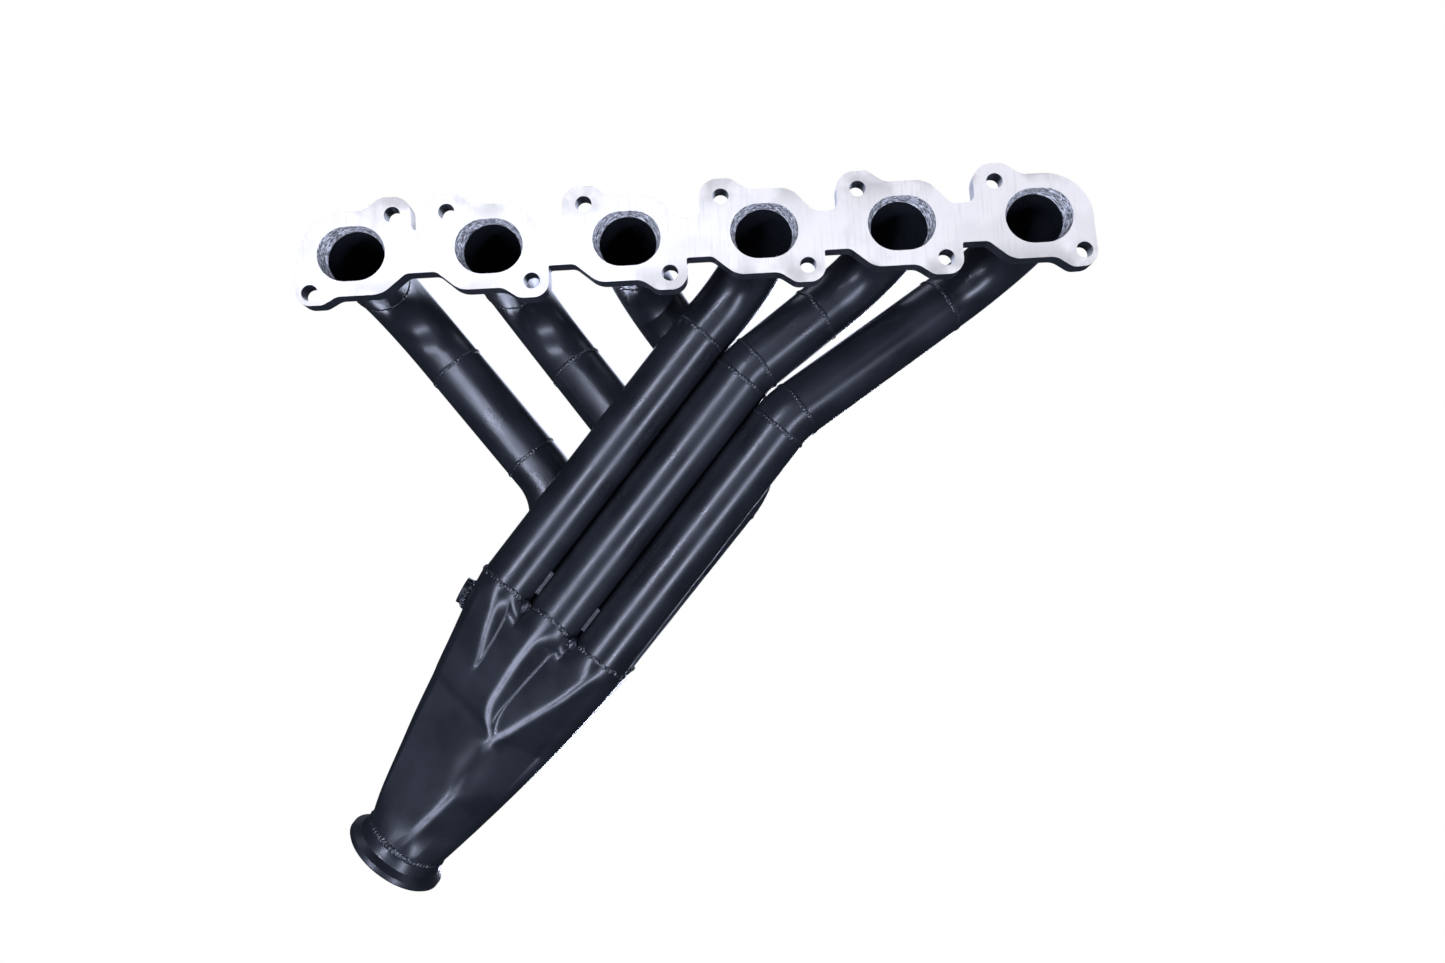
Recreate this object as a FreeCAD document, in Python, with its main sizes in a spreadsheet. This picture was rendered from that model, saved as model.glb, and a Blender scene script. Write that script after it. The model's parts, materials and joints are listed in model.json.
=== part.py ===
import FreeCAD, Part
import math
import os
from collections import namedtuple

import Sketcher
from FreeCAD import Placement, Rotation, Vector

# Tubular exhaust manifold for an inline six. Frame: the origin is the centre of the gasket face,
# level with the port centres. X runs along the ports, Y points away from the cylinder head and
# Z is up. Port 1 is at the low end of X. Runners 4 to 6 make the front row of the tube bundle,
# the row nearer the head, and runners 1 to 3 make the rear row.

DIMENSIONS = {
    # head flange
    "port_pitch": 96,
    "port_width": 47.6,
    "port_height": 39.6,
    "flange_thickness": 12,
    "pad_half_height": 30.5,
    "web_above": 12,
    "web_below": 16.5,
    "bolt_offset_x": 29,
    "bolt_offset_z": 26.6,
    "bolt_hole": 11.5,
    "lug_radius": 12,
    # runner tube
    "tube_outer": 44.5,
    "tube_wall": 2,
    "bend_radius": 57,
    "short_elbow_radius": 45,
    "elbow_leg": 3,
    # tube bundle: pitch of the tubes, centre of the collector's inlet, and its direction
    "tube_pitch": 44.55,
    "inlet_x": -122.9,
    "inlet_y": 121.4,
    "inlet_z": -259.7,
    "bundle_slope": 48.84,
    "bundle_tilt": 6.32,
    # welds
    "bead_radius": 2.2,
    "bead_sink": 0.9,
    "flange_weld": 4,
    # collector
    "collector_length": 205.5,
    "collector_wall": 2,
    "lobe_radius": 23.55,
    "outlet_radius": 33,
    "outlet_shift_along_row": 9.4,
    "outlet_shift_across": -2,
    "shell_gap": 0.6,
    "spike_reach": 15.5,
    "spike_length": 45,
    # ties between neighbouring tubes
    "tie_width": 2.9,
    "tie_depth": 3,
    "tie_length": 20,
    "tie_height": 8.5,
    "tie_to_inlet": 21,
    # sensor bung
    "bung_radius": 10.5,
    "bung_bore": 12.4,
    "bung_length": 18,
    "bung_weld": 2.5,
    "bung_along_row": -73,
    "bung_across": -13.6,
    "bung_below_inlet": 26,
    "bung_lean": 10,
    "bung_rake": 9.5,
    "bung_drill": 40,
    "bung_collar_setback": 5,
    # V-band outlet flange
    "vband_bore": 31,
    "vband_neck": 33.2,
    "vband_flare": 35,
    "vband_rim": 40.5,
    "vband_neck_length": 5,
    "vband_flare_length": 10,
    "vband_rim_start": 13.5,
    "vband_length": 18.5,
    "vband_chamfer": 1.5,
}

# Runner routes. The port elbow's corner stands off the gasket face, and the last bend's corner
# lies above the collector's inlet. The legs are the straight ends that the port elbow keeps
# after its bend and the last elbow keeps before its own.
Route = namedtuple("Route", "stand_off above elbow_leg lower_leg")
ROUTES = {
    1: Route(118, 71, 16, 12),
    2: Route(138, 134, 9, 3),
    3: Route(100, 202, 3, 3),
    4: Route(67.5, 236, None, 3),
    5: Route(72, 241, 14, 3),
    6: Route(88, 230, 6.5, 3),
}
# Place of each runner in the bundle: column along the row, and row across it.
BUNDLE_PLACES = {4: (-1, -0.5), 5: (0, -0.5), 6: (1, -0.5), 1: (-1, 0.5), 2: (0, 0.5), 3: (1, 0.5)}
REAR_RIGHT_LEAN = 3
PORTS = range(1, 7)

os.makedirs("parts", exist_ok=True)
doc = FreeCAD.newDocument("exhaust_manifold")
sheet = doc.addObject("Spreadsheet::Sheet", "dimensions")
nodes = []


def add_cell(alias, value):
    """Writes one named dimension into the next free row of the sheet."""
    row = add_cell.row
    add_cell.row += 1
    sheet.set(f"A{row}", alias)
    sheet.set(f"B{row}", f"{value:.6g}")
    sheet.setAlias(f"B{row}", alias)
    return alias


add_cell.row = 1
for name, number in DIMENSIONS.items():
    add_cell(name, number)
doc.recompute()


def dim(alias):
    """Value of a named cell."""
    return float(getattr(sheet, alias))


def bind(thing, prop, expression):
    """Ties a property to the sheet: a bare alias, or a formula in which {} marks each alias."""
    thing.setExpression(prop, expression.replace("{", "<<dimensions>>.").replace("}", ""))


def keep(thing, label):
    """Registers a finished sub-part under its own label."""
    thing.Label = label
    nodes.append(thing)
    return thing


# ---------------------------------------------------------------- directions of the bundle

slope = math.radians(dim("bundle_slope"))
tilt = math.radians(dim("bundle_tilt"))
DOWN = Vector(-math.cos(slope) * math.cos(tilt), math.sin(tilt), -math.sin(slope) * math.cos(tilt))
ALONG = Vector(math.sin(slope), 0, -math.cos(slope))
ACROSS = ALONG.cross(DOWN)
INLET = Vector(dim("inlet_x"), dim("inlet_y"), dim("inlet_z"))


def frame(origin, z_axis, x_hint):
    """Placement at origin with local Z along z_axis and local X on the x_hint side."""
    z_dir = Vector(z_axis).normalize()
    x_dir = (Vector(x_hint) - z_dir * z_dir.dot(x_hint)).normalize()
    return Placement(origin, Rotation(x_dir, z_dir.cross(x_dir), z_dir, "ZXY"))


def in_bundle(along, across, down):
    """Point given in the bundle's own directions, from the centre of the collector's inlet."""
    return INLET + ALONG * along + ACROSS * across + DOWN * down


def bundle_point(runner, above):
    """Point on a runner's axis in the bundle, a distance above the collector's inlet."""
    column, row = BUNDLE_PLACES[runner]
    pitch = dim("tube_pitch")
    return in_bundle(column * pitch, row * pitch, -above)


# ---------------------------------------------------------------- building blocks

def plane_of(body, role):
    return next(item for item in body.Origin.OriginFeatures if item.Role == role)


def new_sketch(body, name, role, offset=0.0):
    sketch = body.newObject("Sketcher::SketchObject", name)
    sketch.AttachmentSupport = [(plane_of(body, role), "")]
    sketch.MapMode = "FlatFace"
    sketch.AttachmentOffset = Placement(Vector(0, 0, offset), Rotation())
    return sketch


def bound_circle(sketch, centre, name, expression, radius):
    """Circle with a fixed centre and a radius tied to the sheet."""
    index = sketch.addGeometry(Part.Circle(centre, Vector(0, 0, 1), radius), False)
    if centre.Length < 1e-9:
        sketch.addConstraint(Sketcher.Constraint("Coincident", index, 3, -1, 1))
    else:
        sketch.addConstraint(Sketcher.Constraint("DistanceX", -1, 1, index, 3, centre.x))
        sketch.addConstraint(Sketcher.Constraint("DistanceY", -1, 1, index, 3, centre.y))
    constraint = sketch.addConstraint(Sketcher.Constraint("Radius", index, radius))
    sketch.renameConstraint(constraint, name)
    bind(sketch, f"Constraints.{name}", expression)
    return index


def tube_section(body):
    """Ring section of the runner tube in the body's XY plane."""
    sketch = new_sketch(body, "tube_section", "XY_Plane")
    outer = dim("tube_outer") / 2
    bound_circle(sketch, Vector(0, 0, 0), "outer_radius", "{tube_outer} / 2", outer)
    inner_rule = "{tube_outer} / 2 - {tube_wall}"
    bound_circle(sketch, Vector(0, 0, 0), "inner_radius", inner_rule, outer - dim("tube_wall"))
    return sketch


def straight_tube(label, start, end):
    """Cut length of tube between two points."""
    length = add_cell(f"{label}_length", (end - start).Length)
    body = doc.addObject("PartDesign::Body", label)
    section = tube_section(body)
    pad = body.newObject("PartDesign::Pad", "tube_length")
    pad.Profile = section
    bind(pad, "Length", f"{{{length}}}")
    body.Placement = frame(start, end - start, Vector(0.3, 1, 0.2))
    return keep(body, label)


def bend_path(body, leg_in, turn, radius, leg_out):
    """Centre line in the body's XZ plane: a leg up Z, a bend towards X, and a second leg."""
    sketch = new_sketch(body, "centre_line", "XZ_Plane")
    angle, size, first, last = (dim(alias) for alias in (turn, radius, leg_in, leg_out))
    angle = math.radians(angle)
    bend_start = Vector(0, first, 0)
    centre = Vector(size, first, 0)
    bend_end = centre + Vector(-math.cos(angle), math.sin(angle), 0) * size
    path_end = bend_end + Vector(math.sin(angle), math.cos(angle), 0) * last
    circle = Part.Circle(centre, Vector(0, 0, 1), size)
    sketch.addGeometry(Part.LineSegment(Vector(0, 0, 0), bend_start), False)
    sketch.addGeometry(Part.ArcOfCircle(circle, math.pi - angle, math.pi), False)
    sketch.addGeometry(Part.LineSegment(bend_end, path_end), False)
    sketch.addConstraint(Sketcher.Constraint("Coincident", 0, 1, -1, 1))
    sketch.addConstraint(Sketcher.Constraint("PointOnObject", 0, 2, -2))
    sketch.addConstraint(Sketcher.Constraint("Tangent", 0, 2, 1, 2))
    sketch.addConstraint(Sketcher.Constraint("Tangent", 1, 1, 2, 1))
    sizes = (
        ("first_leg", Sketcher.Constraint("Distance", 0, first), leg_in, ""),
        ("bend", Sketcher.Constraint("Radius", 1, size), radius, ""),
        ("second_leg", Sketcher.Constraint("Distance", 2, last), leg_out, ""),
        ("turn", Sketcher.Constraint("Angle", 2, 1, -2, 1, angle), turn, " * 1 deg"),
    )
    for name, constraint, alias, unit in sizes:
        index = sketch.addConstraint(constraint)
        sketch.renameConstraint(index, name)
        bind(sketch, f"Constraints.{name}", f"{{{alias}}}{unit}")
    return sketch


def bent_tube(label, start, way_in, way_out, leg_in, leg_out, radius="bend_radius"):
    """Bent tube from a start point: leg, bend from way_in to way_out, leg."""
    turn = math.degrees(way_in.getAngle(way_out))
    legs = add_cell(f"{label}_leg_in", leg_in), add_cell(f"{label}_leg_out", leg_out)
    turn_cell = add_cell(f"{label}_turn", turn)
    doc.recompute()
    body = doc.addObject("PartDesign::Body", label)
    section = tube_section(body)
    path = bend_path(body, legs[0], turn_cell, radius, legs[1])
    pipe = body.newObject("PartDesign::AdditivePipe", "bent_tube")
    pipe.Profile = section
    pipe.Spine = (path, ["Edge1", "Edge2", "Edge3"])
    body.Placement = frame(start, way_in, way_out)
    return keep(body, label)


def primitive(kind, label, placement, **sizes):
    """Part primitive whose sizes are tied to the sheet."""
    solid = doc.addObject(f"Part::{kind}", label)
    for prop, expression in sizes.items():
        bind(solid, prop, expression)
    solid.Placement = placement
    return solid


def cut(label, base, tool):
    result = doc.addObject("Part::Cut", label)
    result.Base = base
    result.Tool = tool
    return result


def group(label, members):
    """Several separate solids kept as one sub-part."""
    result = doc.addObject("Part::Compound", label)
    result.Links = members
    return keep(result, label)


def weld_bead(label, centre, axis, radius="{tube_outer} / 2"):
    """Rounded bead that stands on a tube's outside, over a butt joint."""
    place = frame(centre, axis, Vector(0.3, 1, 0.2))
    ring = primitive(
        "Torus", f"{label}_ring", place, Radius1=f"{radius} - {{bead_sink}}", Radius2="{bead_radius}"
    )
    back = frame(centre - Vector(axis).normalize() * dim("bead_radius") * 2, axis, Vector(0.3, 1, 0.2))
    core = primitive("Cylinder", f"{label}_core", back, Radius=radius, Height="4 * {bead_radius}")
    return cut(label, ring, core)


# ---------------------------------------------------------------- head flange

def port_x(port):
    return (port - 3.5) * dim("port_pitch")


def bolt_centres():
    """Two bolt holes for each port, on a falling diagonal, and mirrored at port 1."""
    across, up = dim("bolt_offset_x"), dim("bolt_offset_z")
    centres = [(port_x(1) + across, up), (port_x(1) - across, -up)]
    for port in PORTS[1:]:
        centres += [(port_x(port) - across, up), (port_x(port) + across, -up)]
    return centres


def flange_corners():
    """Corners (x, z, rounding radius) of the flange's outline, clockwise from port 1's lower lug."""
    pad, above, below = dim("pad_half_height"), dim("web_above"), dim("web_below")
    across, up, lug = dim("bolt_offset_x"), dim("bolt_offset_z"), dim("lug_radius")
    first, last = port_x(1), port_x(6)
    top, bottom = up + lug + 1, -up - lug
    corners = [
        (first - across - lug + 1, bottom + 2.6, 11),
        (first - across - lug + 7, pad, 32),
        (first + 8, pad, 12),
        (first + across - 8, top, 8),
        (first + across + lug + 1, top, 12),
        (first + across + lug + 1, above + 2, 4.8),
    ]
    for port in PORTS[1:]:
        x = port_x(port)
        # Ports 1 and 2 have their upper lugs side by side, so only a narrow notch is left there.
        corners += [
            (x - across - lug - 3, above + 2, 4.8) if port == 2 else (x - across - lug - 3, above, 6),
            (x - across - lug - 3, top, 13),
            (x - across + 7, top, 8),
            (x - across + 19, pad, 12),
        ]
        if port < 6:
            corners += [(x + 20, pad, 18), (x + 35, above, 12)]
    corners += [
        (last + across + lug - 4, pad, 33),
        (last + across + lug - 2.6, bottom + 0.6, 11),
    ]
    for port in reversed(PORTS[1:]):
        x = port_x(port)
        if port < 6:
            corners += [(x + across + lug, -below, 1.5), (x + across + lug, bottom, 11)]
        corners += [
            (x + across - 9, bottom, 9),
            (x + across - 20, -pad, 12),
            (x - 21, -pad, 16),
            (x - 37, -below, 7),
        ]
    corners += [
        (first + 38, -below, 7),
        (first + 21, -pad, 18),
        (first - across + 19, -pad, 9),
        (first - across + 9, bottom + 2.6, 8),
    ]
    return corners


def rounded_outline(sketch, corners):
    """Closed outline of straight lines and tangent arcs through rounded corners."""
    points = [Vector(x, z, 0) for x, z, _ in corners]
    ends = []
    for index, (x, z, radius) in enumerate(corners):
        here = points[index]
        back = (points[index - 1] - here).normalize()
        ahead = (points[(index + 1) % len(points)] - here).normalize()
        half = back.getAngle(ahead) / 2
        setback = radius / math.tan(half)
        centre = here + (back + ahead).normalize() * (radius / math.sin(half))
        start, finish = here + back * setback, here + ahead * setback
        middle = centre + (here - centre).normalize() * radius
        ends.append((start, finish))
        sketch.addGeometry(Part.Arc(start, middle, finish), False)
    for index, (_, finish) in enumerate(ends):
        start = ends[(index + 1) % len(ends)][0]
        if (start - finish).dot(points[(index + 1) % len(points)] - points[index]) < 0:
            raise ValueError(f"flange corners {index} and {index + 1} are too close together")
        sketch.addGeometry(Part.LineSegment(finish, start), False)


def port_outline(sketch):
    """Mouth of port 1: half circles joined by short flats."""
    radius = dim("port_height") / 2
    flat = dim("port_width") / 2 - radius
    right = Part.Circle(Vector(port_x(1) + flat, 0, 0), Vector(0, 0, 1), radius)
    left = Part.Circle(Vector(port_x(1) - flat, 0, 0), Vector(0, 0, 1), radius)
    sketch.addGeometry(Part.ArcOfCircle(right, -math.pi / 2, math.pi / 2), False)
    upper = Vector(port_x(1) + flat, radius, 0), Vector(port_x(1) - flat, radius, 0)
    sketch.addGeometry(Part.LineSegment(*upper), False)
    sketch.addGeometry(Part.ArcOfCircle(left, math.pi / 2, 3 * math.pi / 2), False)
    lower = Vector(port_x(1) - flat, -radius, 0), Vector(port_x(1) + flat, -radius, 0)
    sketch.addGeometry(Part.LineSegment(*lower), False)


def port_back(sketch):
    """Back end of port 1: the tube's bore, split into four arcs that face the mouth's four sides."""
    bore = dim("tube_outer") / 2 - dim("tube_wall")
    flat = math.atan((dim("port_width") - dim("port_height")) / dim("port_height"))
    circle = Part.Circle(Vector(port_x(1), 0, 0), Vector(0, 0, 1), bore)
    quarter = math.pi / 2
    splits = (-quarter + flat, quarter - flat, quarter + flat, 3 * quarter - flat, 3 * quarter + flat)
    for start, finish in zip(splits, splits[1:]):
        sketch.addGeometry(Part.ArcOfCircle(circle, start, finish), False)


def head_flange():
    """Plate with six pads, two bolt lugs at each, and ports that blend from oval to round."""
    body = doc.addObject("PartDesign::Body", "head_flange")
    outline = new_sketch(body, "flange_outline", "XZ_Plane")
    rounded_outline(outline, flange_corners())
    plate = body.newObject("PartDesign::Pad", "plate")
    plate.Profile = outline
    plate.Reversed = True
    bind(plate, "Length", "{flange_thickness}")

    holes = new_sketch(body, "bolt_holes", "XZ_Plane")
    for index, (x, z) in enumerate(bolt_centres()):
        bound_circle(holes, Vector(x, z, 0), f"bolt_{index}", "{bolt_hole} / 2", dim("bolt_hole") / 2)
    drilled = body.newObject("PartDesign::Pocket", "bolt_drilling")
    drilled.Profile = holes
    drilled.Type = "ThroughAll"
    doc.recompute()

    mouth = new_sketch(body, "port_mouth", "XZ_Plane")
    port_outline(mouth)
    back = new_sketch(body, "port_back", "XZ_Plane", -dim("flange_thickness"))
    port_back(back)
    first_port = body.newObject("PartDesign::SubtractiveLoft", "first_port")
    first_port.Profile = mouth
    first_port.Sections = [back]
    doc.recompute()
    row = body.newObject("PartDesign::LinearPattern", "port_row")
    row.Originals = [first_port]
    row.Direction = (plane_of(body, "X_Axis"), [""])
    row.Occurrences = 6
    bind(row, "Length", "5 * {port_pitch}")
    body.Tip = row
    doc.recompute()
    return keep(body, "head_flange")


# ---------------------------------------------------------------- runners

def runner_corners(runner):
    """Corners of a runner's centre line, from the flange's back to the collector's inlet."""
    route = ROUTES[runner]
    bend = bundle_point(runner, route.above)
    if runner == 3:
        bend = bend + ALONG * REAR_RIGHT_LEAN
    return [
        Vector(port_x(runner), dim("flange_thickness"), 0),
        Vector(port_x(runner), route.stand_off, 0),
        bend,
        bundle_point(runner, 0),
    ]


def corner_cut(way_in, way_out, radius):
    """Distance from a bend's corner back to where the bend starts."""
    return radius * math.tan(way_in.getAngle(way_out) / 2)


def build_runner(runner):
    """Cuts one runner into its tube pieces and returns its butt joints as (point, direction)."""
    route, name = ROUTES[runner], f"runner_{runner}"
    mouth, corner, bend, end = runner_corners(runner)
    ways = [(corner - mouth).normalize(), (bend - corner).normalize(), (end - bend).normalize()]
    leg = dim("elbow_leg")
    last_radius = "short_elbow_radius" if runner > 4 else "bend_radius"
    first_cut = corner_cut(ways[0], ways[1], dim("bend_radius"))
    last_cut = corner_cut(ways[1], ways[2], dim(last_radius))
    last_start = bend - ways[1] * (last_cut + route.lower_leg)

    joints = []
    elbow_start, leg_in = mouth, (corner - mouth).Length - first_cut
    if runner <= 3:
        # The rear runners stand further off, so a stub comes before the elbow.
        elbow_start, leg_in = corner - ways[0] * (first_cut + leg), leg
        straight_tube(f"{name}_port_stub", mouth, elbow_start)
        joints.append((elbow_start, ways[0]))
    if runner == 4:
        # This elbow's second leg reaches the tail tube, which starts with a slight bend.
        leg_out = (last_start - corner).Length - first_cut
        bent_tube(f"{name}_port_elbow", elbow_start, ways[0], ways[1], leg_in, leg_out)
        tail = (end - bend).Length - last_cut
        bent_tube(f"{name}_tail_tube", last_start, ways[1], ways[2], route.lower_leg, tail)
        return [(last_start, ways[1])]
    leg_out = route.elbow_leg
    bent_tube(f"{name}_port_elbow", elbow_start, ways[0], ways[1], leg_in, leg_out)
    elbow_end = corner + ways[1] * (first_cut + leg_out)
    last_end = bend + ways[2] * (last_cut + leg)
    straight_tube(f"{name}_straight", elbow_end, last_start)
    kind = "short_elbow" if runner > 4 else "lower_elbow"
    legs = route.lower_leg, leg
    bent_tube(f"{name}_{kind}", last_start, ways[1], ways[2], *legs, last_radius)
    straight_tube(f"{name}_tail_tube", last_end, end)
    return joints + [(elbow_end, ways[1]), (last_start, ways[1]), (last_end, ways[2])]


def runner_welds(runner, joints):
    beads = []
    for index, (point, way) in enumerate(joints, 1):
        beads.append(weld_bead(f"runner_{runner}_bead_{index}", point, way))
    return group(f"runner_{runner}_weld_beads", beads)


def flange_welds():
    """Fillet weld round each tube where it meets the flange's back."""
    fillets = []
    for port in PORTS:
        place = frame(Vector(port_x(port), dim("flange_thickness"), 0), Vector(0, 1, 0), Vector(1, 0, 0))
        cone = primitive(
            "Cone",
            f"flange_weld_cone_{port}",
            place,
            Radius1="{tube_outer} / 2 + {flange_weld}",
            Radius2="{tube_outer} / 2 + 0.4",
            Height="{flange_weld} - 0.5",
        )
        bore = primitive(
            "Cylinder",
            f"flange_weld_bore_{port}",
            place,
            Radius="{tube_outer} / 2",
            Height="{flange_weld}",
        )
        fillets.append(cut(f"flange_weld_{port}", cone, bore))
    return group("flange_weld_rings", fillets)


# ---------------------------------------------------------------- collector

SECTION_PLACES = (0, 0.07, 0.14, 0.22, 0.3, 0.38, 0.48, 0.6, 0.74, 0.87, 1)
# Points on half a long side, on half a short side and on each corner of a section.
ROW_POINTS = 12
END_POINTS = 4
CORNER_POINTS = 7
# Shares of the length over which the valleys between the lobes fill up, and the sides round off.
VALLEY_FILL = (0.12, 0.5)
ROUNDING = (0.3, 1)
ROW_TURN = 30
END_TURN = 12
# Share of its depth that the front's left edge loses, so that the merged face looks left, and
# the shares of the length over which that comes and goes.
FRONT_LEAN = 0.5
LEAN_COMES = (0.05, 0.45)
LEAN_GOES = (0.9, 1)


def smooth_step(low, high, value):
    share = min(max((value - low) / (high - low), 0), 1)
    return share * share * (3 - 2 * share)


def lobe_reach(point, direction, centres, radius):
    """Distance from a point to the far side of the union of equal circles, along a direction."""
    reach = 1.0
    for centre in centres:
        gap = centre - point
        along = gap.dot(direction)
        inside = radius * radius - gap.dot(gap) + along * along
        if inside > 0:
            reach = max(reach, along + math.sqrt(inside))
    return reach


def collector_point(share, inset, base_x, base_y, angle):
    """Point of a section's outline, straight out at an angle from a base point (-1..1, -1..1)."""
    squeeze = (1 - share) * (1 + 0.3 * share)
    half_row, half_depth = dim("tube_pitch") * squeeze, dim("tube_pitch") / 2 * squeeze
    radius = dim("lobe_radius") + (dim("outlet_radius") - dim("lobe_radius")) * share - inset
    centres = [Vector(c * half_row, r * 2 * half_depth, 0) for c, r in BUNDLE_PLACES.values()]
    base = Vector(base_x * half_row, base_y * half_depth, 0)
    way = math.radians(angle)
    direction = Vector(math.cos(way), math.sin(way), 0)
    reach = lobe_reach(base, direction, centres, radius)
    filled = reach + (radius - reach) * smooth_step(*VALLEY_FILL, share)
    return base + direction * filled


def half_panels(share, inset):
    """Front half of a section, left seam to right seam, in panels that end in the valleys."""
    rounding = smooth_step(*ROUNDING, share)
    row_turn, end_turn = ROW_TURN * rounding, END_TURN * rounding

    def row_point(place):
        return collector_point(share, inset, place, -1, -90 + place * row_turn)

    middle = [row_point(-0.5 + step / ROW_POINTS) for step in range(ROW_POINTS + 1)]
    right = [row_point(0.5 + step / ROW_POINTS) for step in range(ROW_POINTS // 2 + 1)]
    first, last = -90 + row_turn, -end_turn
    for step in range(1, CORNER_POINTS):
        angle = first + (last - first) * step / CORNER_POINTS
        right.append(collector_point(share, inset, 1, -1, angle))
    for step in range(END_POINTS + 1):
        place = -1 + step / END_POINTS
        right.append(collector_point(share, inset, 1, place, place * end_turn))
    left = [Vector(-point.x, point.y, 0) for point in reversed(right)]
    return [left, middle, right]


def depth_left(share, along):
    """Share of the front's depth that its lean leaves at a place along the row."""
    wide = collector_point(share, 0, 1, 0, 0).x
    lean = FRONT_LEAN * smooth_step(*LEAN_COMES, share) * (1 - smooth_step(*LEAN_GOES, share))
    return 1 - lean * (1 - along / wide) / 2


def placed_panel(panel, share, row_side, seam):
    """A panel's points in space: on its side of the seam plane, and shifted towards the outlet."""
    shift_x, shift_y = dim("outlet_shift_along_row"), dim("outlet_shift_across")
    down = dim("collector_length") * share
    points = []
    for point in panel:
        depth = -point.y * (depth_left(share, point.x) if row_side < 0 else 1)
        level = max(depth, seam) * row_side
        points.append(in_bundle(point.x + shift_x * share, level + shift_y * share, down))
    return points


def panel_edge(points):
    curve = Part.BSplineCurve()
    steps = [index / (len(points) - 1) for index in range(len(points))]
    curve.interpolate(Points=points, Parameters=steps)
    return curve.toShape()


def half_shell(row_side):
    """One pressed half of the collector, lofted through C-shaped sections."""
    seam = dim("shell_gap") / 2
    wires = []
    for share in SECTION_PLACES:
        outer = [placed_panel(panel, share, row_side, seam) for panel in half_panels(share, 0)]
        inner_panels = half_panels(share, dim("collector_wall"))
        inner = [placed_panel(panel, share, row_side, seam) for panel in inner_panels]
        edges = [panel_edge(panel) for panel in outer]
        edges.append(Part.makeLine(outer[2][-1], inner[2][-1]))
        edges += [panel_edge(panel[::-1]) for panel in reversed(inner)]
        edges.append(Part.makeLine(inner[0][0], outer[0][0]))
        wires.append(Part.Wire(edges))
    return Part.makeLoft(wires, True, False)


def seam_weld(side):
    """Flush weld that fills the seam between the half shells, on one side of the collector."""
    wall = dim("collector_wall")
    half = dim("shell_gap") / 2 - 0.02
    wires = []
    for share in SECTION_PLACES:
        outer = collector_point(share, 0, 1, 0, 0).x * side
        inner = outer - wall * side
        corners = ((outer, -half), (outer, half), (inner, half), (inner, -half))
        shift_x, shift_y = dim("outlet_shift_along_row"), dim("outlet_shift_across")
        down = dim("collector_length") * share
        points = [in_bundle(x + shift_x * share, y + shift_y * share, down) for x, y in corners]
        wires.append(Part.makePolygon(points + points[:1]))
    return Part.makeLoft(wires, True, False)


def coded(label, shape):
    """Sub-part whose shape is worked out by formula."""
    feature = doc.addObject("Part::Feature", label)
    feature.Shape = shape
    return keep(feature, label)


def bung_frame():
    """Place of the bung's outer face, on the collector's left edge, facing outward."""
    lean, rake = math.radians(dim("bung_lean")), math.radians(dim("bung_rake"))
    outward = ALONG * -math.cos(lean) - ACROSS * math.sin(lean) + DOWN * math.tan(rake)
    middle = in_bundle(dim("bung_along_row"), dim("bung_across"), dim("bung_below_inlet"))
    return frame(middle, outward, DOWN)


def build_collector():
    """Front and rear half shells, their seam welds, and the bung welded into the front half."""
    front = half_shell(-1)
    face = bung_frame()
    inward = face.Rotation.multVec(Vector(0, 0, -1))
    drill = Part.makeCylinder(dim("bung_bore") / 2, dim("bung_drill"), face.Base, inward)
    length, radius = dim("bung_length"), dim("bung_radius")
    barrel = Part.makeCylinder(radius, length, face.Base, inward)
    bung = barrel.cut(drill).cut(front)
    coded("sensor_bung", max(bung.Solids, key=lambda solid: solid.Volume))
    setback = dim("bung_collar_setback")
    collar_start = face.Base + inward * setback
    collar = Part.makeCylinder(radius + dim("bung_weld"), length - setback, collar_start, inward)
    ring = collar.cut(barrel).cut(front)
    outer_ring = min(ring.Solids, key=lambda solid: solid.CenterOfMass.distanceToPoint(face.Base))
    coded("sensor_bung_weld", outer_ring)
    coded("collector_front_shell", front.cut(drill))
    coded("collector_rear_shell", half_shell(1))
    coded("collector_seam_welds", Part.makeCompound([seam_weld(-1), seam_weld(1)]))


def inlet_weld():
    """Bead round the six tube ends, filling between them, against the collector's edge."""
    half = dim("bead_radius")
    rings, cores = [], []
    for runner in PORTS:
        way = (runner_corners(runner)[3] - runner_corners(runner)[2]).normalize()
        centre = bundle_point(runner, half + 0.2)
        place = frame(centre, way, ALONG)
        rings.append(
            primitive(
                "Torus",
                f"inlet_ring_{runner}",
                place,
                Radius1="{tube_outer} / 2 - {bead_sink}",
                Radius2="{bead_radius}",
            )
        )
        start = frame(bundle_point(runner, 6 * half), way, ALONG)
        cores.append(
            primitive(
                "Cylinder",
                f"inlet_core_{runner}",
                start,
                Radius="{tube_outer} / 2",
                Height="12 * {bead_radius}",
            )
        )
    all_rings = doc.addObject("Part::MultiFuse", "inlet_rings")
    all_rings.Shapes = rings
    all_cores = doc.addObject("Part::MultiFuse", "inlet_cores")
    all_cores.Shapes = cores
    return keep(cut("collector_inlet_weld", all_rings, all_cores), "collector_inlet_weld")


def merge_spikes():
    """Two pointed plugs that close the gaps between each four tube ends."""
    reach, length = dim("spike_reach"), dim("spike_length")
    spikes = []
    for side in (-0.5, 0.5):
        middle = side * dim("tube_pitch")
        steps = ((reach, 0), (0, reach), (-reach, 0), (0, -reach))
        base = [in_bundle(middle + along, across, 0.05) for along, across in steps]
        tip = in_bundle(middle * 0.8, 0, length)
        faces = [Part.Face(Part.makePolygon(base + [base[0]]))]
        for first, second in zip(base, base[1:] + base[:1]):
            faces.append(Part.Face(Part.makePolygon([first, second, tip, first])))
        spikes.append(Part.makeSolid(Part.makeShell(faces)))
    return coded("merge_spikes", Part.makeCompound(spikes))


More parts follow.
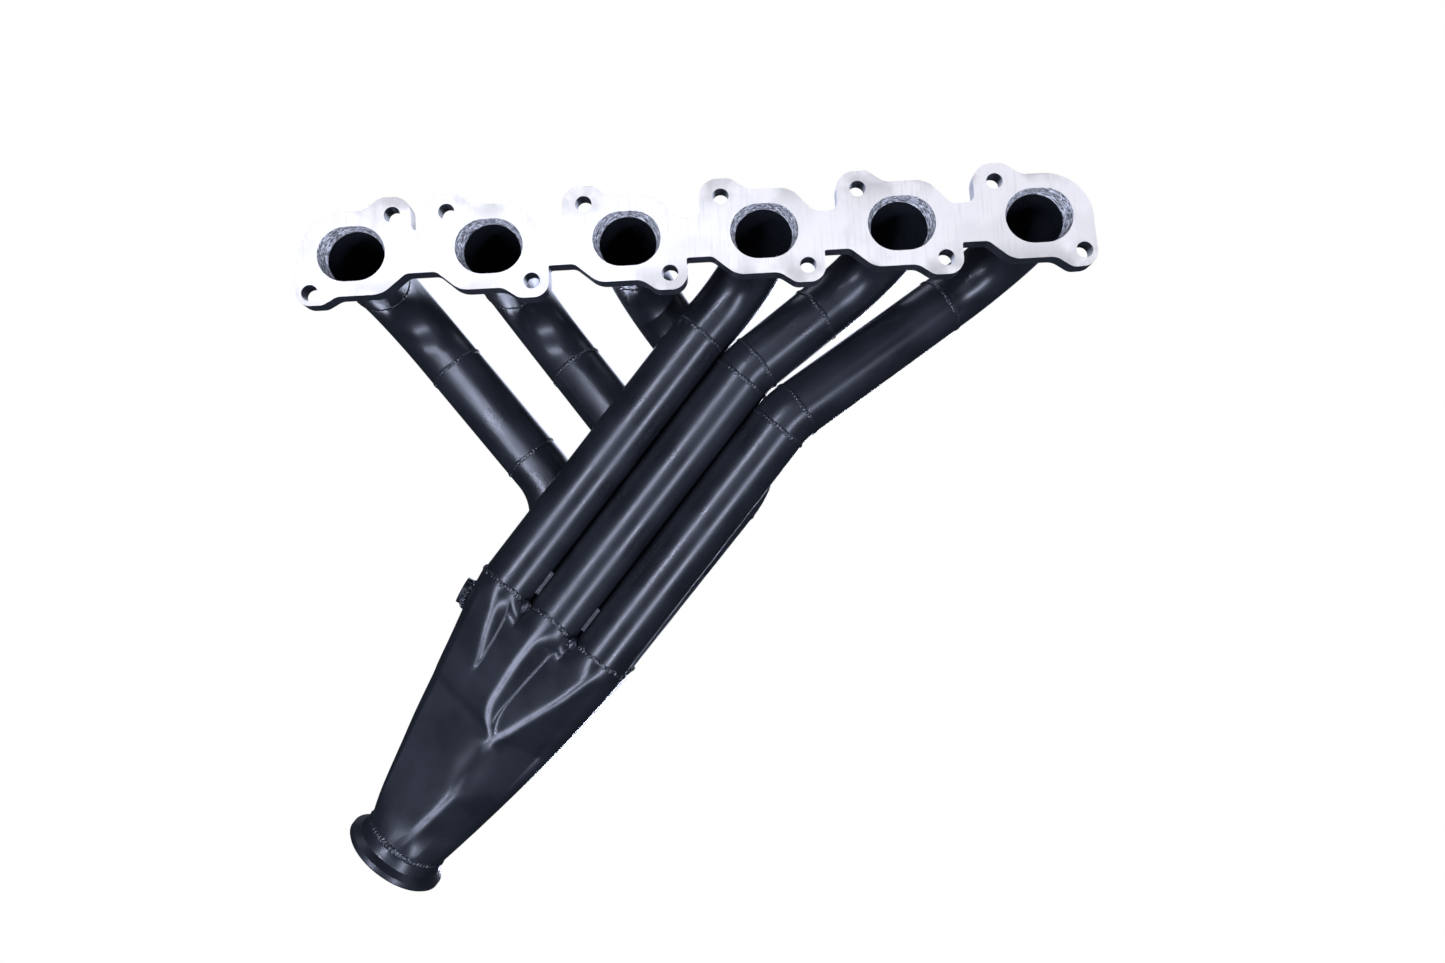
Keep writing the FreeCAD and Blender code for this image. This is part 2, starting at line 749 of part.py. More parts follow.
def tie_strips():
    """Short bars welded into the grooves between neighbouring tubes above the collector."""
    bars = []
    for row in (-1, 1):
        for side in (-0.5, 0.5):
            middle = side * dim("tube_pitch")
            height = row * (dim("tube_pitch") / 2 + dim("tie_height"))
            corner = in_bundle(
                middle - dim("tie_width") / 2,
                height - dim("tie_depth") / 2,
                dim("tie_length") / 2 - dim("tie_to_inlet"),
            )
            place = Placement(corner, Rotation(ALONG, ACROSS, -DOWN, "XYZ"))
            bars.append(
                primitive(
                    "Box",
                    f"tie_strip_{len(bars) + 1}",
                    place,
                    Length="{tie_width}",
                    Width="{tie_depth}",
                    Height="{tie_length}",
                )
            )
    return group("tie_strips", bars)


# ---------------------------------------------------------------- outlet

def outlet_point(beyond):
    return in_bundle(
        dim("outlet_shift_along_row"), dim("outlet_shift_across"), dim("collector_length") + beyond
    )


def vband_flange():
    """Turned V-band flange: neck, flare and rim with a sloped back, bored through."""
    body = doc.addObject("PartDesign::Body", "vband_flange")
    sketch = new_sketch(body, "vband_profile", "XZ_Plane")
    names = ("bore", "neck", "flare", "rim")
    bore, neck, flare, rim = (dim(f"vband_{name}") for name in names)
    lengths = ("neck_length", "flare_length", "rim_start", "length")
    neck_end, flare_end, rim_start, end = (dim(f"vband_{name}") for name in lengths)
    chamfer = dim("vband_chamfer")
    corners = [
        (bore, 0),
        (neck, 0),
        (neck, neck_end),
        (flare, flare_end),
        (rim, rim_start),
        (rim, end - chamfer),
        (rim - chamfer, end),
        (bore, end),
    ]
    for first, second in zip(corners, corners[1:] + corners[:1]):
        sketch.addGeometry(Part.LineSegment(Vector(*first, 0), Vector(*second, 0)), False)
    turned = body.newObject("PartDesign::Revolution", "turned_flange")
    turned.Profile = sketch
    turned.ReferenceAxis = (sketch, ["V_Axis"])
    turned.Angle = 360
    body.Placement = frame(outlet_point(0), DOWN, ALONG)
    return keep(body, "vband_flange")


def outlet_weld():
    """Bead on the V-band's neck, against the end of the collector."""
    bead = weld_bead("outlet_weld", outlet_point(dim("bead_radius") - 0.1), DOWN, "{vband_neck}")
    return keep(bead, "outlet_weld")


# ---------------------------------------------------------------- assembly

doc.recompute()
head_flange()
for runner in PORTS:
    runner_welds(runner, build_runner(runner))
flange_welds()
build_collector()
inlet_weld()
merge_spikes()
tie_strips()
vband_flange()
outlet_weld()
doc.recompute()

for thing in doc.Objects:
    if "Invalid" in thing.State or "Error" in thing.State:
        raise RuntimeError(f"{thing.Label} failed: {thing.State}")
for node in nodes:
    if node.Shape.isNull() or not node.Shape.isValid() or not node.Shape.Solids:
        raise RuntimeError(f"{node.Label} has no valid solid")
for node in nodes:
    node.Shape.exportStep(f"parts/{node.Label}.step")
print(len(nodes), "sub-parts written")
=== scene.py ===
"""Looks of a welded tubular exhaust manifold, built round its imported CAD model. Metres, Z up."""
import json
import math
import random

import bmesh
import bpy
import numpy as np
from mathutils import Matrix, Vector


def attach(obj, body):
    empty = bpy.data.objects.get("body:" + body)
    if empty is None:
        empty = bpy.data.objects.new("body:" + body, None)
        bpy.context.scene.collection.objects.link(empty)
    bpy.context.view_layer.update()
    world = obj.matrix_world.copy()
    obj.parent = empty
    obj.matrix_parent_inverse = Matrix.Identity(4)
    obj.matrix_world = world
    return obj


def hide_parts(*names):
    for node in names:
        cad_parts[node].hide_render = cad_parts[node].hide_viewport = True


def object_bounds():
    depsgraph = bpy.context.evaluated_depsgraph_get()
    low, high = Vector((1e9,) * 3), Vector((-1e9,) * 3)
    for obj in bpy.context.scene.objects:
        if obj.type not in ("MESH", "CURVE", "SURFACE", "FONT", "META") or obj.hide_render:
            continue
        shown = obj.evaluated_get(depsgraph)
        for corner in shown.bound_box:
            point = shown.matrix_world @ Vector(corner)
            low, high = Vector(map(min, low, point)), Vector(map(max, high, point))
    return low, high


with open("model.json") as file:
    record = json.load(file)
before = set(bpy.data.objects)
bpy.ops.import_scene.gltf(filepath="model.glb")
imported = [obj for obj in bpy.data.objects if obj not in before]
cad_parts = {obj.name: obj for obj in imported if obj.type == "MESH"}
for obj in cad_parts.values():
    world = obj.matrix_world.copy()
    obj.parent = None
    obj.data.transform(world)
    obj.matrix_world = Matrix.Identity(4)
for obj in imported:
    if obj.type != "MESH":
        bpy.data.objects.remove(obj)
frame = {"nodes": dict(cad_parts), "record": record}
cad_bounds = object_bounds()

MM = 0.001
SEED = 7

# Main sizes of the manifold, as its CAD model has them.
PORT_PITCH = 96 * MM
PORTS = 6
TUBE_RADIUS = 22.25 * MM
BOLT_X = 29 * MM
BOLT_Z = 26.6 * MM
FACE_BRIGHT = 0.64
FACE_DULL = 0.4
WARM = (1.08, 1.0, 0.84)

nodes = frame["nodes"]


# ---------------------------------------------------------------- reading the frame

def vertices(node):
    """Vertex positions of a CAD node as an array of rows."""
    mesh = nodes[node].data
    flat = np.zeros(len(mesh.vertices) * 3)
    mesh.vertices.foreach_get("co", flat)
    return flat.reshape(-1, 3)


def loose_parts(node):
    """Vertex positions of each separate solid in a CAD node, in the same order each run."""
    work = bmesh.new()
    work.from_mesh(nodes[node].data)
    bmesh.ops.remove_doubles(work, verts=work.verts, dist=0.01 * MM)
    waiting = set(work.verts)
    parts = []
    while waiting:
        stack, found = [waiting.pop()], []
        while stack:
            vertex = stack.pop()
            found.append(vertex.co[:])
            for edge in vertex.link_edges:
                other = edge.other_vert(vertex)
                if other in waiting:
                    waiting.remove(other)
                    stack.append(other)
        parts.append(np.array(sorted(found)))
    work.free()
    return sorted(parts, key=lambda part: tuple(part.mean(0).round(5)))


def ring_of(points):
    """Centre and axis of a ring-shaped solid. The largest part of the axis is positive."""
    middle = points.mean(0)
    _, _, rows = np.linalg.svd(points - middle, full_matrices=False)
    axis = rows[2] * np.sign(rows[2][np.abs(rows[2]).argmax()])
    across = (points - middle) @ rows[:2].T
    fit = np.c_[2 * across, np.ones(len(across))]
    centre, *_ = np.linalg.lstsq(fit, (across ** 2).sum(1), rcond=None)
    level = (points - middle) @ axis
    depth = (level.max() + level.min()) / 2
    return middle + rows[0] * centre[0] + rows[1] * centre[1] + axis * depth, axis


# ---------------------------------------------------------------- node materials

class Graph:
    """Short way to write a material's node tree."""

    def __init__(self, name):
        self.material = bpy.data.materials.new(name)
        self.material.use_nodes = True
        self.tree = self.material.node_tree
        self.tree.nodes.clear()
        self.output = self.tree.nodes.new("ShaderNodeOutputMaterial")

    def add(self, kind, settings=None, **inputs):
        node = self.tree.nodes.new("ShaderNode" + kind)
        for key, value in (settings or {}).items():
            setattr(node, key, value)
        for key, value in inputs.items():
            self.put(node, key.replace("_", " "), value)
        return node

    def put(self, node, key, value):
        socket = node.inputs[int(key)] if key.isdigit() else node.inputs[key]
        if isinstance(value, bpy.types.NodeSocket):
            self.tree.links.new(value, socket)
        else:
            socket.default_value = value

    def math(self, operation, first, second=0.0, clamp=False):
        node = self.tree.nodes.new("ShaderNodeMath")
        node.operation = operation
        node.use_clamp = clamp
        self.put(node, "0", first)
        self.put(node, "1", second)
        return node.outputs[0]

    def position(self):
        return self.add("NewGeometry").outputs["Position"]

    def split(self, vector):
        return self.add("SeparateXYZ", Vector=vector).outputs

    def noise(self, scale, detail=3.0, roughness=0.5, vector=None, distortion=0.0):
        vector = vector or self.position()
        made = self.add("TexNoise", Vector=vector, Scale=scale, Detail=detail,
                        Roughness=roughness, Distortion=distortion)
        return made.outputs["Fac"]

    def stretched(self, sx, sy, sz):
        """Position with each axis scaled, for grain that runs one way."""
        ends = {"0": self.position(), "1": (sx, sy, sz)}
        return self.add("VectorMath", {"operation": "MULTIPLY"}, **ends).outputs[0]

    def step(self, value, low, high, out_low=0.0, out_high=1.0):
        """Smooth change of a value between two levels."""
        node = self.add("MapRange", {"interpolation_type": "SMOOTHSTEP"}, Value=value)
        ends = {"From Min": low, "From Max": high, "To Min": out_low, "To Max": out_high}
        for key, number in ends.items():
            self.put(node, key, number)
        return node.outputs["Result"]

    def mix(self, share, first, second):
        node = self.tree.nodes.new("ShaderNodeMix")
        node.data_type = "RGBA"
        for index, value in ((0, share), (6, first), (7, second)):
            if isinstance(value, bpy.types.NodeSocket):
                self.tree.links.new(value, node.inputs[index])
            else:
                node.inputs[index].default_value = value
        return node.outputs[2]

    def blend(self, share, first, second):
        """Mix of two plain numbers."""
        difference = self.math("SUBTRACT", second, first)
        return self.math("ADD", first, self.math("MULTIPLY", difference, share))

    def bump(self, height, strength, distance, normal=None):
        made = self.add("Bump", Height=height, Strength=strength, Distance=distance)
        if normal is not None:
            self.put(made, "Normal", normal)
        return made.outputs["Normal"]

    def surface(self, **inputs):
        shader = self.add("BsdfPrincipled", **inputs)
        self.tree.links.new(shader.outputs[0], self.output.inputs["Surface"])
        return shader


def grey(level, tint=(1.0, 1.0, 1.0)):
    return (level * tint[0], level * tint[1], level * tint[2], 1.0)


COAT_TINT = (0.82, 0.95, 1.2)


def coating_parts(graph, roughness=0.3):
    """Colour, roughness and normal of the satin black coating, for any material that shows it."""
    cloud = graph.noise(22, 4, 0.55)
    colour = graph.mix(graph.step(cloud, 0.35, 0.68), grey(0.010, COAT_TINT), grey(0.016, COAT_TINT))
    rough = graph.step(cloud, 0.3, 0.7, roughness - 0.04, roughness + 0.05)
    peel = graph.noise(420, 2, 0.5)
    normal = graph.bump(peel, 0.07, 0.12 * MM)
    return colour, rough, normal


def coating():
    graph = Graph("satin_black_coating")
    colour, rough, normal = coating_parts(graph)
    # A paler colour is painted along the ridges of the pressed collector as a painted highlight.
    painted_highlight = graph.add("Attribute", {"attribute_name": "painted_highlight"}).outputs["Fac"]
    patchy = graph.step(graph.noise(150, 3, 0.6), 0.25, 0.6, 0.55, 1.0)
    painted_highlight = graph.math("MULTIPLY", painted_highlight, patchy)
    # Painted highlight: paler grey along the ridge crests.
    colour = graph.mix(painted_highlight, colour, grey(0.22, (1.0, 1.0, 1.04)))
    dull = graph.add("Attribute", {"attribute_name": "dull"}).outputs["Fac"]
    rough = graph.blend(dull, graph.blend(painted_highlight, rough, 0.5), 0.62)
    shine = graph.blend(dull, 0.5, 0.15)
    graph.surface(Base_Color=colour, Roughness=rough, Specular_IOR_Level=shine, Normal=normal)
    return graph.material


def rough_coating():
    """Thick uneven coating of the tie strips."""
    graph = Graph("rough_black_coating")
    colour, _, normal = coating_parts(graph)
    lumps = graph.noise(620, 3, 0.7)
    flecks = graph.step(graph.noise(520, 2, 0.7), 0.55, 0.72)
    colour = graph.mix(flecks, colour, grey(0.12))
    graph.surface(Base_Color=colour, Roughness=0.55, Normal=graph.bump(lumps, 0.9, 0.5 * MM, normal))
    return graph.material


def weld_coating():
    """The same coating over weld metal, with a painted highlight on the crests."""
    graph = Graph("coated_weld_metal")
    colour, rough, normal = coating_parts(graph, 0.3)
    crest = graph.add("NewGeometry").outputs["Pointiness"]
    patchy = graph.step(graph.noise(300, 2), 0.35, 0.6)
    # Lighter grey painted on the bead crests: a painted highlight standing in for glints.
    painted_highlight = graph.math("MULTIPLY", graph.step(crest, 0.515, 0.58), patchy)
    colour = graph.mix(painted_highlight, colour, grey(0.16))
    graph.surface(Base_Color=colour, Roughness=rough, Normal=normal)
    return graph.material


def flange_metal():
    """Bare ground face and port walls; upper edges painted bright as painted light; coating on the lower
    edges and in the bolt holes.
    """
    graph = Graph("flange_bare_and_coated")
    black, black_rough, black_normal = coating_parts(graph)
    geometry = graph.add("NewGeometry")
    normal = graph.split(geometry.outputs["True Normal"])
    place = graph.split(geometry.outputs["Position"])
    facing = graph.step(graph.math("MULTIPLY", normal[1], -1.0), 0.6, 0.8)

    # Place inside the nearest port's pitch, from the port's centre.
    turns = graph.math("ADD", graph.math("DIVIDE", place[0], PORT_PITCH), 4.0)
    port_x = graph.math("MULTIPLY", graph.math("SUBTRACT", graph.math("FRACT", turns), 0.5), PORT_PITCH)

    def distance(x, z):
        squares = graph.math("ADD", graph.math("POWER", x, 2.0), graph.math("POWER", z, 2.0))
        return graph.math("SQRT", squares)

    from_port = distance(port_x, place[2])
    near_port = graph.step(from_port, 25.5 * MM, 24.8 * MM)
    in_port = graph.math("MULTIPLY", near_port, graph.math("SUBTRACT", 1.0, facing))
    side = graph.math("SUBTRACT", graph.math("ABSOLUTE", port_x), BOLT_X)
    height = graph.math("SUBTRACT", graph.math("ABSOLUTE", place[2]), BOLT_Z)
    in_hole = graph.step(distance(side, height), 6.3 * MM, 6.1 * MM)

    # Painted light: the upper edges get the bright bare colour where light falls on them; left-facing ones
    # keep the dark coating as painted shade.
    painted_lit_upper_edge = graph.math("MULTIPLY", graph.step(place[2], -3 * MM, 3 * MM), graph.step(normal[2], -0.5, -0.3))
    painted_lit_upper_edge = graph.math("MULTIPLY", painted_lit_upper_edge, graph.step(normal[1], 0.6, 0.4))
    painted_lit_upper_edge = graph.math("MULTIPLY", painted_lit_upper_edge, graph.math("SUBTRACT", 1.0, in_hole))
    painted_lit_upper_edge = graph.math("MULTIPLY", painted_lit_upper_edge, graph.step(from_port, 25 * MM, 26 * MM))
    # Left-facing upper edges stay dark: painted shade.
    painted_lit_upper_edge = graph.math("MULTIPLY", painted_lit_upper_edge, graph.step(normal[0], -0.6, -0.3))

    tooth = graph.noise(1.0, 4, 0.7, graph.stretched(300, 900, 300), 0.9)
    patch = graph.noise(160, 3, 0.6)
    reach = graph.math("ADD", place[1], graph.math("MULTIPLY", graph.math("SUBTRACT", patch, 0.5), 4 * MM))
    ground = graph.step(reach, 13.2 * MM, 12.4 * MM)
    wall = graph.math("MULTIPLY", in_port, ground)
    # Painted glints: bright patches along the inner end of each port wall.
    painted_glint = graph.math("MULTIPLY", graph.step(reach, 9 * MM, 11 * MM), graph.step(patch, 0.5, 0.66))

    brushed = graph.noise(1.0, 4, 0.65, graph.stretched(60, 60, 1400))
    grind = graph.noise(1.0, 3, 0.6, graph.stretched(500, 60, 30))
    # Darker blotches on the face, stronger away from the ports' middle height towards the lugs.
    blotches = graph.noise(26, 3, 0.55)
    away = graph.step(graph.math("ABSOLUTE", place[2]), 14 * MM, 34 * MM)
    shade = graph.math("MULTIPLY", graph.step(blotches, 0.42, 0.62), graph.blend(away, 0.25, 1.0))
    face = graph.mix(shade, grey(FACE_BRIGHT, WARM), grey(FACE_DULL, WARM))
    face = graph.mix(graph.step(grind, 0.5, 0.75, 0.0, 0.3), face, grey(FACE_DULL * 0.9, WARM))
    face = graph.mix(graph.step(brushed, 0.55, 0.8, 0.0, 0.3), face, grey(FACE_DULL, WARM))

    cut = graph.mix(graph.step(tooth, 0.42, 0.64), grey(0.07), grey(1.0))
    # Painted glints: near-white colour mixed into the port wall.
    cut = graph.mix(painted_glint, cut, grey(0.9))
    metal = graph.mix(wall, face, cut)
    # Bare metal, plus the upper edges painted bright as painted light.
    bare_and_painted_lit = graph.math("MAXIMUM", graph.math("MAXIMUM", facing, wall), painted_lit_upper_edge)
    colour = graph.mix(bare_and_painted_lit, black, metal)
    metal_rough = graph.blend(wall, graph.step(brushed, 0.3, 0.8, 0.36, 0.5), 0.42)
    rough = graph.blend(bare_and_painted_lit, black_rough, metal_rough)
    metallic = graph.math("MULTIPLY", bare_and_painted_lit, graph.blend(wall, 0.3, 0.35))
    tooth_height = graph.math("MULTIPLY", tooth, wall)
    scratch = graph.math("MULTIPLY", brushed, 0.04)
    bumped = graph.bump(graph.math("ADD", tooth_height, scratch), 0.7, 0.6 * MM, black_normal)
    graph.surface(Base_Color=colour, Roughness=rough, Metallic=metallic, Normal=bumped)
    return graph.material


def floor_material():
    """Pale floor: plain white to the eye, dim in reflections, as under a tent."""
    graph = Graph("pale_floor")
    path = graph.add("LightPath")
    bright = graph.add("Emission", Color=grey(1.0), Strength=1.0)
    dim = graph.add("BsdfDiffuse", Color=grey(0.12))
    chosen = graph.tree.nodes.new("ShaderNodeMixShader")
    graph.tree.links.new(path.outputs["Is Camera Ray"], chosen.inputs[0])
    graph.tree.links.new(dim.outputs[0], chosen.inputs[1])
    graph.tree.links.new(bright.outputs[0], chosen.inputs[2])
    graph.tree.links.new(chosen.outputs[0], graph.output.inputs["Surface"])
    return graph.material


# ---------------------------------------------------------------- mesh helpers

def grid_mesh(name, points, material, closed_u=False, closed_v=False):
    """Object from a grid of points, shape (rows, columns, 3), with its corners joined as quads."""
    rows, columns, _ = points.shape
    faces = []
    for row in range(rows if closed_u else rows - 1):
        following = (row + 1) % rows
        for column in range(columns if closed_v else columns - 1):
            beside = (column + 1) % columns
            faces.append((row * columns + column, row * columns + beside,
                          following * columns + beside, following * columns + column))
    mesh = bpy.data.meshes.new(name)
    mesh.from_pydata(points.reshape(-1, 3).tolist(), [], faces)
    mesh.shade_smooth()
    mesh.materials.append(material)
    made = bpy.data.objects.new(name, mesh)
    bpy.context.scene.collection.objects.link(made)
    return made


def joined(name, parts):
    """One object from several."""
    work = bmesh.new()
    for part in parts:
        work.from_mesh(part.data)
    mesh = bpy.data.meshes.new(name)
    work.to_mesh(mesh)
    work.free()
    mesh.shade_smooth()
    mesh.materials.append(parts[0].data.materials[0])
    for part in parts:
        old = part.data
        bpy.data.objects.remove(part)
        bpy.data.meshes.remove(old)
    made = bpy.data.objects.new(name, mesh)
    bpy.context.scene.collection.objects.link(made)
    return made


def cross_axes(axis):
    """Two directions square to an axis and to each other."""
    axis = np.array(axis, float) / np.linalg.norm(axis)
    helper = np.array([0.0, 0.0, 1.0]) if abs(axis[2]) < 0.8 else np.array([1.0, 0.0, 0.0])
    first = np.cross(helper, axis)
    first /= np.linalg.norm(first)
    return first, np.cross(axis, first)


RIPPLE_PITCH = 2.9 * MM
BEAD_STEP = 0.45 * MM


def bead_profile(count, half_width, height):
    """Across a bead on a round tube: offsets along the axis and outward, edges sunk in the tube."""
    across = np.linspace(-1, 1, count)
    rise = height * (1 - across ** 2) ** 0.7
    rise[0] = rise[-1] = -0.4 * MM
    return across, across * half_width, rise


def weld_ring(name, centre, axis, radius, material, dice, half_width=1.9 * MM, height=0.7 * MM):
    """Weld bead round a tube, made of overlapping rounded ripples of uneven size."""
    first, second = cross_axes(axis)
    axis = np.array(axis, float) / np.linalg.norm(axis)
    around = 2 * math.pi * radius
    ripples = round(around / RIPPLE_PITCH)
    steps = round(around / BEAD_STEP)
    across, along, rise = bead_profile(13, half_width, height)
    angle = np.linspace(0, 2 * math.pi, steps, endpoint=False)[:, None]
    tall = np.array([dice.uniform(0.75, 1.2) for _ in range(ripples)])
    wide = np.array([dice.uniform(0.85, 1.15) for _ in range(ripples)])
    wander = sum(
        dice.uniform(0.1, 0.3) * MM * np.sin(turns * angle + dice.uniform(0, 6.28)) for turns in (1, 2, 3, 7)
    )
    phase = (angle / (2 * math.pi) * ripples + 0.8 * across ** 2) % ripples
    whole = phase.astype(int) % ripples
    part = phase - np.floor(phase)
    scallop = 0.3 + 0.7 * np.sin(math.pi * part) ** 0.7
    out = radius + np.where(rise > 0, rise * scallop * tall[whole], rise)
    level = along * wide[whole] + wander
    points = (
        np.array(centre)
        + level[..., None] * axis
        + (out * np.cos(angle))[..., None] * first
        + (out * np.sin(angle))[..., None] * second
    )
    return grid_mesh(name, points, material, closed_u=True)


# ---------------------------------------------------------------- the tube bundle

def unit(vector):
    return vector / np.linalg.norm(vector)


OUTLET = next(mount for mount in frame["record"]["mounts"] if mount["name"] == "outlet_bore")
DOWN = unit(np.array(OUTLET["axis"]))


def lower_end(node):
    """Centre of the lower end of a straight tube of the bundle."""
    points = vertices(node)
    level = points @ DOWN
    return points[level > level.max() - 1 * MM].mean(0)


ROW_ENDS = [lower_end(f"runner_{runner}_tail_tube") for runner in (4, 5, 6)]
ALONG = unit(ROW_ENDS[2] - ROW_ENDS[0])
ACROSS = np.cross(ALONG, DOWN)
PITCH = np.linalg.norm(ROW_ENDS[2] - ROW_ENDS[0]) / 2
INLET = ROW_ENDS[1] + ACROSS * PITCH / 2
OUTLET_START = np.array(OUTLET["pos_m"]) - DOWN * OUTLET["dims"]["length_mm"] / 2 * MM
LENGTH = (OUTLET_START - INLET) @ DOWN
SHIFT_ALONG = (OUTLET_START - INLET) @ ALONG
SHIFT_ACROSS = (OUTLET_START - INLET) @ ACROSS


def in_bundle(along, across, down):
    """Points from their places along the row, across it and down from the inlet."""
    along, across, down = np.broadcast_arrays(along, across, down)
    return INLET + along[..., None] * ALONG + across[..., None] * ACROSS + down[..., None] * DOWN


def smooth_step(low, high, value):
    share = np.clip((value - low) / (high - low), 0, 1)
    return share * share * (3 - 2 * share)


# ---------------------------------------------------------------- collector

LOBE_RADIUS = 23.55 * MM
OUTLET_RADIUS = 33 * MM
SHELL_WALL = 2 * MM
# Outermost place, as a share of the half width, that takes part in the pressing.
HELD = 0.86
# Stretches of the collector's length, as shares, over which its shapes change.
VALLEY_FILL = (0.12, 0.5)
PRESSING_COMES = (0.0, 0.1)
PRESSING_GOES = (0.85, 1)
CREASE_SOFT = (0.3, 0.42)
DULL_COMES = (0.46, 0.5)
DULL_GOES = (0.64, 0.72)
# Depth from which the soft maxima below are reckoned, which keeps their powers small.
LEVEL = 45 * MM
LOBE_CREASE = 0.8 * MM
# Width and offset of the painted highlight along the collector's ridges.
HIGHLIGHT_WIDTH = 2.1 * MM
HIGHLIGHT_OFFSET = 0.5 * MM
DULL_WIDTH = 10 * MM
# How far the front shell's edge reaches up its tubes.
INLET_RISE = 4 * MM
ROW_COLUMNS, CORNER_COLUMNS, END_COLUMNS, SKIN_ROWS = 241, 31, 11, 181


def collector_columns():
    """Base point and outward direction of each column of points, from the left seam to the right one."""
    row = [(place, -1, place, 0) for place in np.linspace(-1, 1, ROW_COLUMNS)]
    corner = [(1, -1, 1, share) for share in np.linspace(0, 1, CORNER_COLUMNS)[1:]]
    end = [(1, place, 1, 1) for place in np.linspace(-1, 0, END_COLUMNS)[1:]]
    right = corner + end
    left = [(-x, y, -turn, share) for x, y, turn, share in reversed(right)]
    return np.array(left + row + right).T


def collector_skin(inset, front):
    """Points of one half shell, rows from the inlet down and columns from seam to seam.

    Gives their places, how strong the painted highlight is and how dull the coating is at each of them.
    """
    base_x, base_y, turn, corner = collector_columns()
    share = np.linspace(0, 1, SKIN_ROWS)[:, None]
    squeeze = (1 - share) * (1 + 0.3 * share)
    half_row, half_depth = PITCH * squeeze, PITCH / 2 * squeeze
    radius = LOBE_RADIUS + (OUTLET_RADIUS - LOBE_RADIUS) * share - inset
    rounding = smooth_step(0.3, 1, share)
    row_turn, end_turn = 30 * rounding, 12 * rounding
    row_angle = -90 + turn * row_turn
    side_start = -90 + row_turn
    side_angle = side_start + (-end_turn - side_start) * corner
    side_angle = np.where(corner >= 1, base_y * end_turn, side_angle)
    mirrored = np.where(base_x < 0, -180 - side_angle, side_angle)
    angle = np.radians(np.where(corner > 0, mirrored, row_angle))
    way_x, way_y = np.cos(angle), np.sin(angle)
    start_x, start_y = base_x * half_row, base_y * half_depth

    x, y = start_x + way_x * radius, start_y + way_y * radius
    wide = half_row + radius
    held = np.clip(x, -HELD * wide, HELD * wide)
    plain = np.array([np.interp(at, row_x, -row_y) for at, row_x, row_y in zip(held, x, y)])
    lobes = lobe_depth(held, share, half_row, half_depth, radius)
    if front:
        pressed = ridge_depth(held / wide, share, wide) - inset
        level = lobes + (pressed - lobes) * smooth_step(*PRESSING_COMES, share)
        level = level + (plain - level) * smooth_step(*PRESSING_GOES, share)
    else:
        level = lobes + (plain - lobes) * smooth_step(*VALLEY_FILL, share)
    y = np.minimum(y * level / plain, -0.3 * MM)
    painted_highlight, dull = ridge_highlight_and_dullness(held / wide, share, wide) if front else (0 * x, 0 * x)
    if not front:
        x, y = x[:, ::-1], -y[:, ::-1]
    rise = INLET_RISE * (1 - smooth_step(0, 0.08, share)) * rise_shape(base_x, corner) if front else 0
    points = in_bundle(x + SHIFT_ALONG * share, y + SHIFT_ACROSS * share, LENGTH * share - rise)
    return points, painted_highlight, dull


def lobe_depth(x, share, half_row, half_depth, radius):
    """Depth of the union of three round lobes in front of the seam plane."""
    total = 0
    for place in (-1, 0, 1):
        gap = x - place * half_row
        depth = half_depth + np.sqrt(np.maximum(radius ** 2 - gap ** 2, 0))
        total = total + np.exp((depth - LEVEL) / LOBE_CREASE)
    return np.log(total) * LOBE_CREASE + LEVEL


# Each ridge of the pressed front: its course as (share of length, place across as a share of the
# half width, depth in mm, half-width of its rounded top in mm, strength of its painted highlight),
# then its left and right slopes.
RIDGES = (
    (((0, -0.70, 45, 3, 0), (0.06, -0.61, 44, 3, 0.5), (0.16, -0.54, 42, 2.5, 0.7),
      (0.26, -0.455, 37, 2.2, 0.3), (0.32, -0.43, 33.8, 3, 0), (0.42, -0.4, 27.5, 4, 0),
      (0.6, -0.4, 5, 4, 0)), 0.36, 0.95),
    (((0, 0.02, 46, 3, 0), (0.06, -0.02, 45, 3, 0.8), (0.18, -0.04, 44.5, 2.5, 1),
      (0.34, -0.02, 43, 2.2, 1),
      (0.39, 0.04, 42.3, 2.2, 1), (0.42, 0.14, 41.6, 2.4, 1), (0.44, 0.27, 40.8, 3, 0.8),
      (0.5, 0.3, 38, 3, 0), (0.7, 0.3, 20, 3, 0)), 0.36, 0.85),
    (((0, 0.78, 45, 3, 0), (0.1, 0.7, 44, 2.5, 0.35), (0.18, 0.64, 43.5, 2.5, 0.5),
      (0.33, 0.46, 42.2, 2.3, 0.9), (0.41, 0.36, 41.6, 2.3, 1), (0.45, 0.27, 41.2, 3.0, 0.9),
      (0.5, 0.28, 40.5, 6, 0), (0.6, 0.30, 39.5, 8, 0), (0.7, 0.32, 38.6, 4, 0.35),
      (0.78, 0.28, 38, 3, 0.8), (0.86, 0.22, 37, 3, 0.8), (0.93, 0.17, 36, 3, 0.3),
      (1, 0.1, 35, 3, 0)), 0.36, 0.9),
)


def ridges_at(place, share, wide):
    """For each ridge: depth of its surface, distance from its crest, and the strength of its painted
    highlight.
    """
    for course, left, right in RIDGES:
        shares, places, depths, tops, highlight_strengths = np.array(course).T
        top = smooth_course(share, shares, depths) * MM
        gap = (place - smooth_course(share, shares, places)) * wide
        soft = smooth_course(share, shares, tops) * MM
        round_top = np.sqrt(gap ** 2 + soft ** 2) - soft
        fall = (left + right) / 2 * round_top + (right - left) / 2 * gap
        yield top - fall, gap, smooth_course(share, shares, highlight_strengths)


def crease_blend(share):
    """How softly ridges run into each other: sharply above, softly lower down."""
    return (0.5 + 1.2 * smooth_step(*CREASE_SOFT, share)) * MM


def ridge_depth(place, share, wide):
    """Depth of the pressed front: three rounded ridges with creases between them."""
    blend = crease_blend(share)
    total = sum(np.exp((depth - LEVEL) / blend) for depth, _, _ in ridges_at(place, share, wide))
    return np.log(total) * blend + LEVEL


